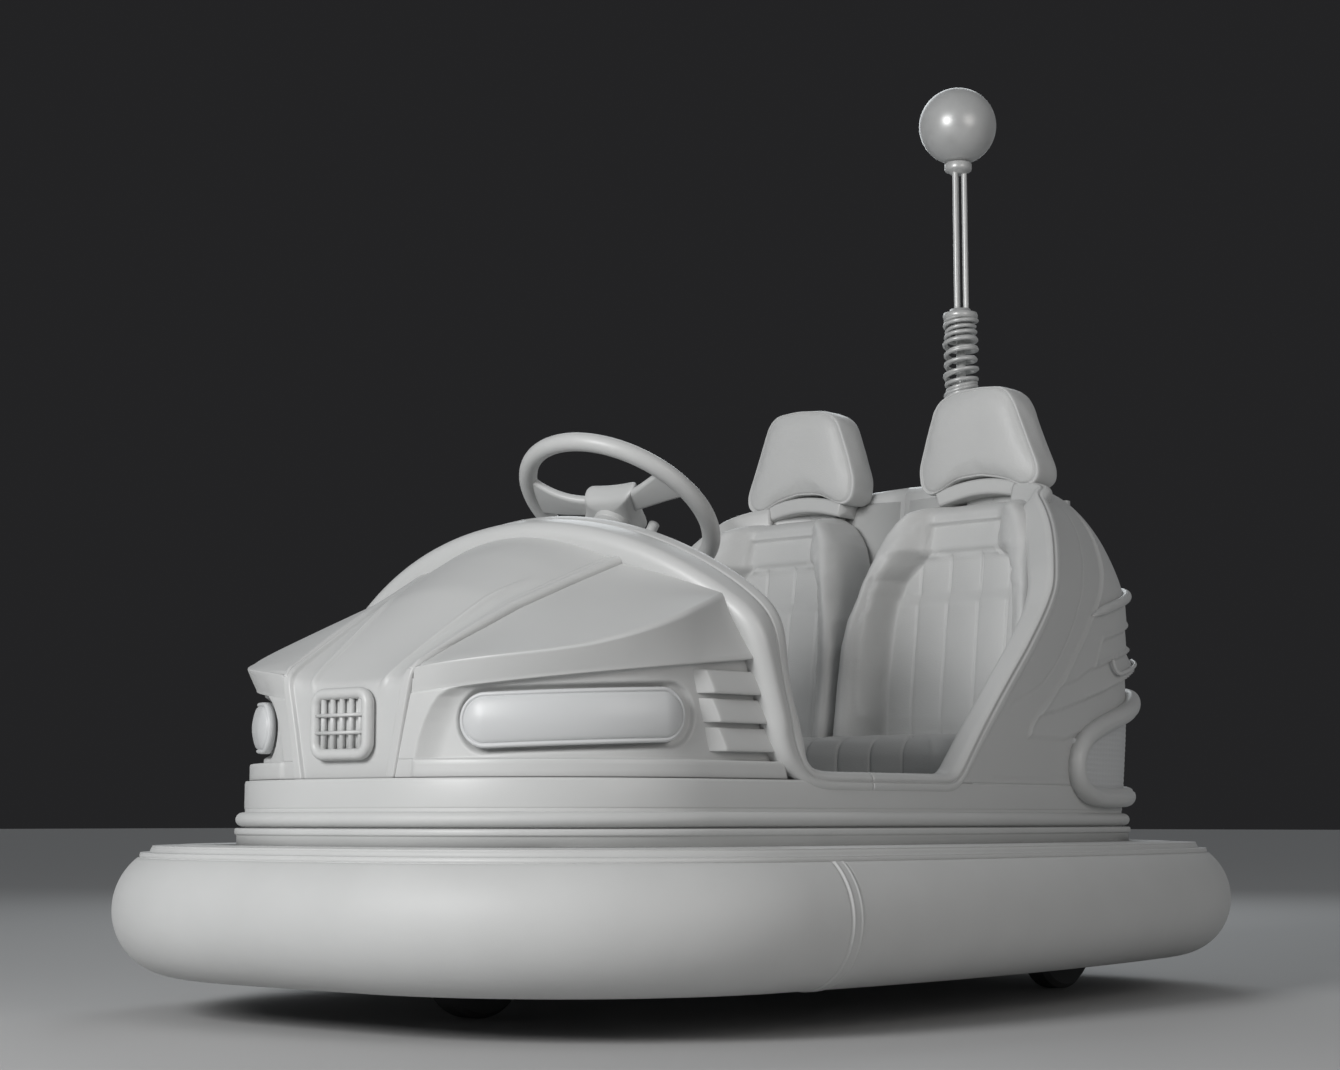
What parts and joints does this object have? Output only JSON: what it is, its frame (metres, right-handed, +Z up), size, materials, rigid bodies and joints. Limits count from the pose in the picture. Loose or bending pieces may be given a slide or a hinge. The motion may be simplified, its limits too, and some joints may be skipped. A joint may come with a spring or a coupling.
{
  "type": "bumper car",
  "caption": "Two-seat fairground bumper car with a rubber bumper ring, moulded body, bucket seats and a contact mast.",
  "frame": {"origin": "on the floor under the centre of the bumper ring", "axes": "+Z up; the car is longest along Y and faces -Y; +X is the car's left-hand side"},
  "size_m": [1.3612, 1.9994, 1.755],
  "materials": {
    "moulded_shell": "satin",
    "bumper_rubber": "matte",
    "deck_metal": "satin",
    "seat_vinyl": "satin",
    "trim_plastic": "satin",
    "lens": "gloss",
    "bare_steel": "satin",
    "chassis_paint": "satin",
    "cast_motor": "matte",
    "wheel_rubber": "matte"
  },
  "bodies": {
    "car": {"base_bead": "bumper_rubber", "base_skirt": "deck_metal", "body_tub": "moulded_shell", "bumper_channel": "chassis_paint", "bumper_tyre": "bumper_rubber", "chassis_frame": "chassis_paint", "cockpit_arch": "trim_plastic", "contact_ball": "bare_steel", "dash": "trim_plastic", "deck_plate": "deck_metal", "fender_left": "moulded_shell", "fender_right": "moulded_shell", "grille": "trim_plastic", "headlamp_left": "lens", "headlamp_right": "lens", "headrest_left": "seat_vinyl", "headrest_right": "seat_vinyl", "mast_base": "trim_plastic", "mast_rods": "bare_steel", "mast_spring": "bare_steel", "nose_spine": "moulded_shell", "pedal": "bare_steel", "rear_axle": "chassis_paint", "rear_body": "moulded_shell", "rear_bulkhead": "moulded_shell", "rear_lamp_frame_left": "trim_plastic", "rear_lamp_frame_right": "trim_plastic", "rear_lens_left": "lens", "rear_lens_right": "lens", "seat_back_left": "seat_vinyl", "seat_back_right": "seat_vinyl", "seat_cushion_left": "seat_vinyl", "seat_cushion_right": "seat_vinyl", "side_rim_left": "trim_plastic", "side_rim_right": "trim_plastic", "steering_column": "bare_steel", "steering_gearbox": "trim_plastic"},
    "steering_wheel": {"steering_wheel": "trim_plastic"},
    "drive_unit": {"drive_fork": "chassis_paint", "drive_motor": "cast_motor"},
    "drive_wheel": {"drive_hub": "cast_motor", "drive_tyre": "wheel_rubber"},
    "rear_wheel_left": {"rear_hub_left": "cast_motor", "rear_tyre_left": "wheel_rubber"},
    "rear_wheel_right": {"rear_hub_right": "cast_motor", "rear_tyre_right": "wheel_rubber"}
  },
  "joints": [
    {"name": "drive_unit_yaw", "type": "hinge", "parent": "car", "child": "drive_unit", "pos_m": [0, -0.56, 0.2], "axis": [0, 0, 1], "continuous": true},
    {"name": "steering_wheel_turn", "type": "hinge", "parent": "car", "child": "steering_wheel", "pos_m": [0, -0.237, 0.801], "axis": [0, 0.5707, 0.8211], "continuous": true},
    {"name": "drive_wheel_spin", "type": "hinge", "parent": "drive_unit", "child": "drive_wheel", "pos_m": [0, -0.56, 0.1], "axis": [1, 0, 0], "continuous": true},
    {"name": "rear_wheel_left_spin", "type": "hinge", "parent": "car", "child": "rear_wheel_left", "pos_m": [0.33, 0.56, 0.1], "axis": [1, 0, 0], "continuous": true},
    {"name": "rear_wheel_right_spin", "type": "hinge", "parent": "car", "child": "rear_wheel_right", "pos_m": [-0.33, 0.56, 0.1], "axis": [1, 0, 0], "continuous": true}
  ],
  "couplings": [
    {"joint": "steering_wheel_turn", "follows": "drive_unit_yaw", "ratio": 1}
  ]
}
